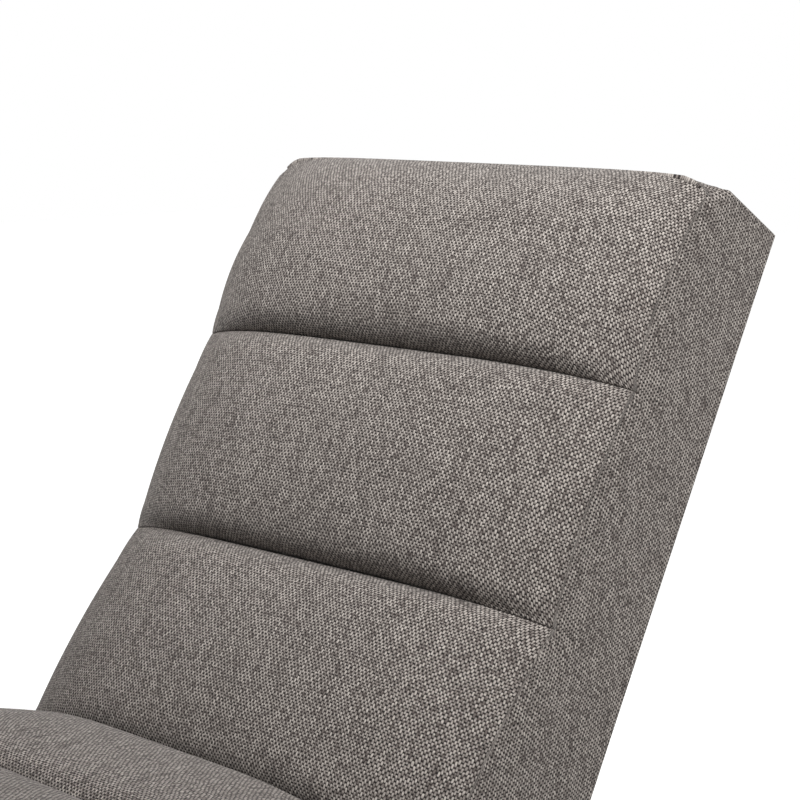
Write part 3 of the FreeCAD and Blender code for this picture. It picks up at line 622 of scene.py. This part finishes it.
def hip_bend(inset):
    """Arc of the underside below the hip: points from the rear to the bottom."""
    depth, radius = BODY_DEPTH - inset, HIP_BEND - inset
    rear, bottom = profile_point(0, depth), profile_point(HIP + 1, depth)
    up, forward = -runs[0], runs[HIP]
    steps = np.linalg.solve(np.column_stack((runs[0], -forward)), bottom - rear)
    corner = rear + runs[0] * steps[0]
    half_angle = math.acos(up @ forward) / 2
    bisector = (up + forward) / np.linalg.norm(up + forward)
    centre = corner + bisector * (radius / math.sin(half_angle))
    first = corner + up * (radius / math.tan(half_angle)) - centre
    last = corner + forward * (radius / math.tan(half_angle)) - centre
    sweep = math.acos(first @ last / radius ** 2)
    sides = [math.sin(sweep * (1 - k / BEND_STEPS)) * first + math.sin(sweep * k / BEND_STEPS) * last
             for k in range(BEND_STEPS + 1)]
    return [centre + side / math.sin(sweep) for side in sides]


def closer_at_ends(count):
    """Shares from 0 to 1 that lie closest together at both ends."""
    return (1 - np.cos(np.linspace(0, math.pi, count))) / 2


def spread(line, shares):
    """Points at these shares of the length of a side-view line."""
    line = np.array(line)
    length = np.pad(np.linalg.norm(np.diff(line, axis=0), axis=1).cumsum(), (1, 0))
    return np.column_stack([np.interp(shares * length[-1], length, line[:, k]) for k in (0, 1)])


def lower_line(i):
    """Lower edge of the side panel below channel i, a little proud of the underside."""
    depth = BODY_DEPTH + PROUD
    line = [profile_point(i, depth), profile_point(i + 1, depth)]
    if i == HIP - 1:
        line[1:] = hip_bend(-PROUD)[:BEND_STEPS // 2 + 1]
    if i == HIP:
        line[:1] = hip_bend(-PROUD)[BEND_STEPS // 2:]
    return line


def panel_grid():
    """Side-view points of the side panel: rows from seam to underside, columns from head to foot."""
    shares = closer_at_ends(PANEL_COLUMNS)
    seam, low = [], []
    for i in range(FOOT):
        line = channel_surface(i, np.full(SEAM_POINTS, HALF_WIDTH), np.linspace(0, 1, SEAM_POINTS))
        keep = slice(None) if i == FOOT - 1 else slice(-1)
        seam.append(spread(line, shares)[keep])
        low.append(spread(lower_line(i), shares)[keep])
    seam, low = np.concatenate(seam), np.concatenate(low)
    rows = closer_at_ends(PANEL_ROWS)[:, None, None]
    return seam * (1 - rows) + low * rows


def distance_to_line(points, a, b):
    """Distance of side-view points from the stretch a to b, and how far along it they are."""
    span = b - a
    share = np.clip((points - a) @ span / (span @ span), 0, 1)
    return np.linalg.norm(points - a - share[..., None] * span, axis=-1), share


def rounded(distance, radius):
    """How far a rounded edge of this radius lies below the flat at a distance from the edge."""
    return radius - np.sqrt(radius ** 2 - np.clip(radius - distance, 0, radius) ** 2)


def side_panel(name, side):
    """One side panel, with rounded edges, a little fullness and tucks."""
    flat = panel_grid()
    from_seam = np.linalg.norm(flat - flat[:1], axis=2)
    from_low = np.linalg.norm(flat - flat[-1:], axis=2)
    sunk = SEAM_LEAN * np.exp(-from_seam / SEAM_REACH) + rounded(from_low, EDGE_ROUND)
    sunk -= PANEL_FULLNESS * np.clip(np.minimum(from_seam, from_low) / FULLNESS_REACH, 0, 1)
    for j in range(1, FOOT):
        top = profile_point(j, SEAM_DROPS[j] - TUCK_START)
        low = profile_point(j, SEAM_DROPS[j] + TUCK_LENGTH)
        off, share = distance_to_line(flat, top, low)
        sunk += TUCK_DEPTH * (1 - share) * np.exp(-(off / TUCK_WIDTH) ** 2)
    points = np.dstack((side * (HALF_WIDTH - sunk), flat))
    flat_list = points.reshape(-1, 3)
    for i in (0, FOOT - 1):
        round_end_corners(flat_list, i)
    panel = new_piece(name, cloth_grid(points, (side, 0, 0)))
    cosine, sine = math.cos(GRAIN_LEAN), math.sin(GRAIN_LEAN)
    turn = np.array(((cosine, -sine), (sine, cosine)))
    lay_cloth(panel, flat_list[:, 1:] @ turn)
    return panel


def thicken(piece, thickness):
    """Live thickness inwards from the outer face."""
    solid = piece.modifiers.new("thickness", "SOLIDIFY")
    solid.thickness = thickness * MM
    solid.offset = -1


for word, side in (("left", 1), ("right", -1)):
    panel = side_panel(f"side_panel_{word}", side)
    thicken(panel, SIDE_COVER - 1)
    finish_piece(panel, upholstery, [f"side_cover_{word}"])
    print(panel.name, len(panel.data.vertices), "vertices")

# %% [markdown]
# ## Rear panel and end panels
#
# The rear panel is one strip of cloth stretched down the back and round under the hip. The end panels
# close the head and the foot behind the soft front edge. Each is a grid on a side-view line.

# %% Rear panel and end panels
INNER_HALF = HALF_WIDTH - SIDE_COVER
REAR_FULLNESS = 2.0
STRIP_COLUMNS = 61
STRIP_ROWS = 90
END_ROWS = 40
END_OVERLAP = 8


def strip_grid(line, half, fullness):
    """Grid of a cloth strip across the body on a side-view line, fuller in its middle."""
    across = np.linspace(-1, 1, STRIP_COLUMNS)
    steps = np.gradient(line, axis=0)
    out = np.column_stack((-steps[:, 1], steps[:, 0])) / np.linalg.norm(steps, axis=1)[:, None]
    swell = fullness * (1 - across ** 4)
    points = np.zeros((len(line), STRIP_COLUMNS, 3))
    points[:, :, 0] = across * half
    points[:, :, 1:] = line[:, None] + out[:, None] * swell[None, :, None]
    return points


rear_line = [profile_point(0, BODY_DEPTH + PROUD - 1) + runs[0]] + hip_bend(1 - PROUD)
points = strip_grid(spread(rear_line, np.linspace(0, 1, STRIP_ROWS)), INNER_HALF, -REAR_FULLNESS)
rear_panel = new_piece("rear_panel", cloth_grid(points, (0, 1, 0)))
lay_cloth(rear_panel, cloth_lengths(points))
thicken(rear_panel, COVER)
finish_piece(rear_panel, upholstery, ["back_cover"])

for word, j, i in (("head", 0, 0), ("foot", FOOT, FOOT - 1)):
    line = [profile_point(j, PAD_DEPTH - END_OVERLAP), profile_point(j, BODY_DEPTH + PROUD - 1)]
    points = strip_grid(spread(line, np.linspace(0, 1, END_ROWS)), HALF_WIDTH - 1, 0)
    round_end_corners(points.reshape(-1, 3), i)
    outward = -runs[0] if j == 0 else runs[-1]
    panel = new_piece(f"{word}_end_panel", cloth_grid(points, (0, *outward)))
    lay_cloth(panel, cloth_lengths(points))
    thicken(panel, END_COVER - 1)
    finish_piece(panel, upholstery, [f"{word}_end_cover"])
print("rear and end panels ready")

# %% [markdown]
# ## Dust cloth, foam and webbing
#
# The underside is closed by a thin black cloth, stapled to the frame. Inside, foam slabs lie on elastic
# straps that are stretched over the side boards. None of it shows until the covers come off.

# %% Plain soft materials
def plain_material(name, low, high, scale, roughness, bump):
    """Material with two tones in a fine noise, in millimetres, and a bump."""
    material, tree, shader = new_material(name)
    place = add(tree, "TexCoord").outputs["Object"]
    grain = add(tree, "TexNoise", {"Vector": place, "Scale": 1 / (scale * MM), "Detail": 3.0})
    grain = grain.outputs["Fac"]
    tone = add(tree, "MapRange", {0: grain, 1: 0.35, 2: 0.65}).outputs[0]
    colour = add(tree, "Mix", {0: tone, 6: linear(low), 7: linear(high)}, data_type="RGBA").outputs[2]
    tree.links.new(colour, shader.inputs["Base Color"])
    relief = add(tree, "Bump", {"Strength": 0.6, "Distance": bump * MM, "Height": grain}).outputs[0]
    tree.links.new(relief, shader.inputs["Normal"])
    shader.inputs["Roughness"].default_value = roughness
    return material


dust_cloth = plain_material("black_dust_cloth", "141414", "2b2b2b", 1.2, 0.9, 0.2)
foam = plain_material("pale_foam", "d9cf9f", "efe7c4", 1.5, 0.95, 0.5)
elastic = plain_material("black_elastic_webbing", "1c1b1a", "3a3632", 1.0, 0.8, 0.3)

# %% Dust cloth, foam and webbing
DUST_DEPTH = 160.0
DUST_THICKNESS = 0.6
STRAP_WIDTH = 60.0
STRAP_SPACING = 90.0
STRAP_EDGE = 0.6
FOAM_EDGE = 3.0
FOAM_INSET = 24.0
FOAM_ROOM = 0.5

dust_line = [hip_bend(BODY_DEPTH - DUST_DEPTH)[-1]]
dust_line += [profile_point(i, DUST_DEPTH) for i in range(HIP + 1, FOOT)]
dust_line += [profile_point(FOOT, DUST_DEPTH) - runs[-1] * END_COVER]
points = strip_grid(spread(dust_line, np.linspace(0, 1, STRIP_ROWS)), INNER_HALF, 0)
underside = new_piece("underside_cloth", cloth_grid(points, (0, 0, -1)))
thicken(underside, DUST_THICKNESS)
finish_piece(underside, dust_cloth, ["bottom_cover"])


def bevelled(shape, size):
    """Round every edge of a bmesh."""
    bmesh.ops.bevel(shape, geom=shape.edges[:], offset=size * MM, segments=2, profile=0.5,
                    affect="EDGES", material=-1)


def foam_slab(name, first, last):
    """Foam slab below the channels from crease first to crease last."""
    inset = {0: runs[0] * FOAM_INSET, FOOT: runs[-1] * -FOAM_INSET}
    upper = [profile_point(i, PAD_DEPTH + FOAM_ROOM) + inset.get(i, 0) for i in range(first, last + 1)]
    lower = [profile_point(i, FOAM_DEPTH) + inset.get(i, 0) for i in range(last, first - 1, -1)]
    shape = bmesh.new()
    ring = [shape.verts.new(Vector((FOAM_INSET - HALF_WIDTH, y, z)) * MM) for y, z in upper + lower]
    made = bmesh.ops.extrude_face_region(shape, geom=[shape.faces.new(ring)])["geom"]
    far = [item for item in made if isinstance(item, bmesh.types.BMVert)]
    bmesh.ops.translate(shape, verts=far, vec=(2 * (HALF_WIDTH - FOAM_INSET) * MM, 0, 0))
    bmesh.ops.recalc_face_normals(shape, faces=shape.faces)
    bevelled(shape, FOAM_EDGE)
    return new_piece(name, shape)


def straps(name, first, last):
    """Two straps under each channel, on the edges of the side boards."""
    shape = bmesh.new()
    thickness = STRAP_DEPTH - FOAM_DEPTH
    for i in range(first, last):
        for end in (-1, 1):
            middle = creases[i] + runs[i] * (PITCHES[i] + end * STRAP_SPACING) / 2
            middle = middle - facings[i] * (FOAM_DEPTH + thickness / 2)
            made = bmesh.ops.create_cube(shape, size=MM)["verts"]
            bmesh.ops.scale(shape, verts=made, vec=(2 * INNER_HALF, STRAP_WIDTH, thickness))
            turn = Matrix.Rotation(-math.radians(SLOPES[i]), 3, "X")
            bmesh.ops.rotate(shape, verts=made, matrix=turn)
            bmesh.ops.translate(shape, verts=made, vec=Vector((0, *middle)) * MM)
    bevelled(shape, STRAP_EDGE)
    return new_piece(name, shape)


for word, first, last in (("back", 0, HIP), ("seat", HIP, HIP + 3), ("leg", HIP + 3, FOOT)):
    slab = foam_slab(f"{word}_foam_slab", first, last)
    finish_piece(slab, foam, [f"{word}_foam"])
    bands = straps(f"{word}_straps", first, last)
    finish_piece(bands, elastic, [f"{word}_webbing"])
    bands.data.shade_flat()
print("hidden soft parts ready")

# %% [markdown]
# ## Timber and metal
#
# The rest of the frame keeps its CAD geometry and gets its finish here: plywood boards with their plies on
# the edges, pine rails with the grain along them, zinc-plated fastenings, chromed tube legs and black feet.

# %% Timber materials
PLY = 3.0


def plywood_material(name):
    """Birch plywood whose plies lie across the body, so that they show on the boards' edges."""
    material, tree, shader = new_material(name)
    place = add(tree, "TexCoord").outputs["Object"]
    grain = add(tree, "Mapping", {"Vector": place, "Scale": (40, 9, 160)}).outputs[0]
    grain = add(tree, "TexNoise", {"Vector": grain, "Scale": 1.0, "Detail": 5.0}).outputs["Fac"]
    face = add(tree, "Mix", {0: grain, 6: linear("b98f5c"), 7: linear("e2c490")}, data_type="RGBA")
    face = face.outputs[2]
    across = add(tree, "SeparateXYZ", {0: place}).outputs[0]
    ply = add(tree, "Math", {0: across, 1: 2 * math.pi / (PLY * MM)}, operation="MULTIPLY").outputs[0]
    ply = add(tree, "Math", {0: ply}, operation="SINE").outputs[0]
    ply = add(tree, "MapRange", {0: ply, 1: -0.3, 2: 0.3}).outputs[0]
    edge = add(tree, "Mix", {0: ply, 6: linear("8a5f36"), 7: linear("d3b07c")}, data_type="RGBA").outputs[2]
    normal = add(tree, "NewGeometry").outputs["True Normal"]
    sideways = add(tree, "SeparateXYZ", {0: normal}).outputs[0]
    sideways = add(tree, "Math", {0: sideways}, operation="ABSOLUTE").outputs[0]
    on_face = add(tree, "MapRange", {0: sideways, 1: 0.6, 2: 0.9}).outputs[0]
    colour = add(tree, "Mix", {0: on_face, 6: edge, 7: face}, data_type="RGBA").outputs[2]
    tree.links.new(colour, shader.inputs["Base Color"])
    shader.inputs["Roughness"].default_value = 0.6
    return material


def pine_material(name):
    """Planed pine with the grain across the body, along every rail."""
    material, tree, shader = new_material(name)
    place = add(tree, "TexCoord").outputs["Object"]
    long = add(tree, "Mapping", {"Vector": place, "Scale": (4, 110, 110)}).outputs[0]
    grain = add(tree, "TexNoise", {"Vector": long, "Scale": 1.0, "Detail": 4.0, "Distortion": 0.6})
    grain = grain.outputs["Fac"]
    tone = add(tree, "MapRange", {0: grain, 1: 0.35, 2: 0.65}).outputs[0]
    colour = add(tree, "Mix", {0: tone, 6: linear("c99a5f"), 7: linear("ecd09b")}, data_type="RGBA")
    tree.links.new(colour.outputs[2], shader.inputs["Base Color"])
    shader.inputs["Roughness"].default_value = 0.55
    return material


plywood = plywood_material("birch_plywood")
pine = pine_material("planed_pine")

# %% Metal and foot materials
def metal_material(name, colour, roughness, wander, scale):
    """Metal whose roughness wanders a little, over spots of this size in millimetres."""
    material, tree, shader = new_material(name)
    place = add(tree, "TexCoord").outputs["Object"]
    spots = add(tree, "TexNoise", {"Vector": place, "Scale": 1 / (scale * MM), "Detail": 3.0})
    spots = spots.outputs["Fac"]
    level = add(tree, "MapRange", {0: spots, 3: roughness - wander, 4: roughness + wander}).outputs[0]
    tree.links.new(level, shader.inputs["Roughness"])
    shader.inputs["Base Color"].default_value = linear(colour)
    shader.inputs["Metallic"].default_value = 1.0
    return material


chrome = metal_material("chromed_steel", "c9ccd0", 0.09, 0.03, 30)
zinc = metal_material("zinc_plated_steel", "b9bcc0", 0.38, 0.1, 4)
nylon = plain_material("black_nylon", "121212", "1c1c1c", 2.0, 0.5, 0.05)

# %% Dress the CAD nodes
CAD_FINISHES = (
    (plywood, ("back_board", "seat_board", "hip_gusset")),
    (pine, ("head_rail", "mid_back_rail", "low_back_rail", "seat_rail", "knee_rail", "foot_rail",
            "rear_leg_plank", "front_leg_plank")),
    (zinc, ("frame_screws", "tee_nuts", "leg_bolts", "leg_washers", "stud_inserts", "foot_stud")),
    (chrome, ("rear_leg", "front_leg")),
    (nylon, ("foot_pad",)),
)
dressed = set()
for material, starts in CAD_FINISHES:
    for node_name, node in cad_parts.items():
        if node_name.startswith(starts) and node_name not in dressed:
            node.data.materials.clear()
            node.data.materials.append(material)
            dressed.add(node_name)
print("CAD nodes dressed:", len(dressed))
